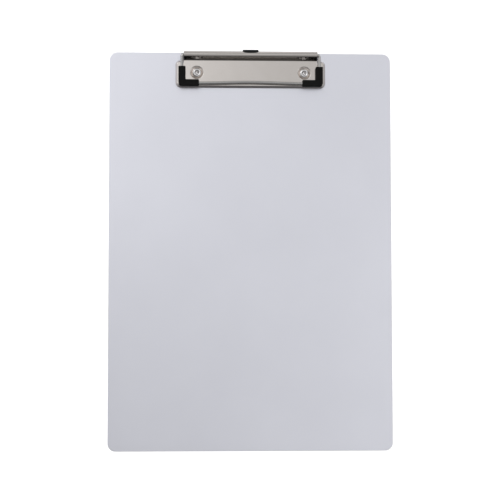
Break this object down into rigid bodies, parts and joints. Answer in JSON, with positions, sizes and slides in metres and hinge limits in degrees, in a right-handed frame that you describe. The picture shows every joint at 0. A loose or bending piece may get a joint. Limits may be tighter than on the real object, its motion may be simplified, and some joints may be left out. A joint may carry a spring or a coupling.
{
  "type": "clipboard",
  "caption": "Letter-size aluminium clipboard with a low-profile spring-wire clip, rubber corner grips and a pull-out hanging tab.",
  "frame": {"origin": "centre of the board's flat back face", "axes": "+Y towards the clip, +X to the right seen from the writing side, +Z out of the writing face"},
  "size_m": [0.2256, 0.3196, 0.0105],
  "materials": {
    "board_aluminium": "fine satin, clear anodised",
    "nickel_plate": "bright nickel plate",
    "spring_wire": "bright nickel plate",
    "rivet_metal": "bright nickel plate",
    "grip_rubber": "matte, lightly textured",
    "hanger_plastic": "satin moulded"
  },
  "bodies": {
    "board": {"board": "board_aluminium", "base_plate": "nickel_plate", "torsion_leg_left": "spring_wire", "torsion_leg_right": "spring_wire", "rivet_left": "rivet_metal", "rivet_right": "rivet_metal"},
    "bow": {"wire_bow": "spring_wire", "corner_grip_left": "grip_rubber", "corner_grip_right": "grip_rubber"},
    "hanger": {"hanger": "hanger_plastic"}
  },
  "joints": [
    {"name": "bow_hinge", "type": "hinge", "parent": "board", "child": "bow", "pos_m": [0, 0.15659, 0.007], "axis": [-1, 0, 0], "range_deg": [0, 45], "stiffness_Nm_per_rad": 1.2, "springref_deg": -17.19},
    {"name": "hanger_slide", "type": "slide", "parent": "board", "child": "hanger", "axis": [0, 1, 0], "range_m": [0, 0.013]}
  ]
}
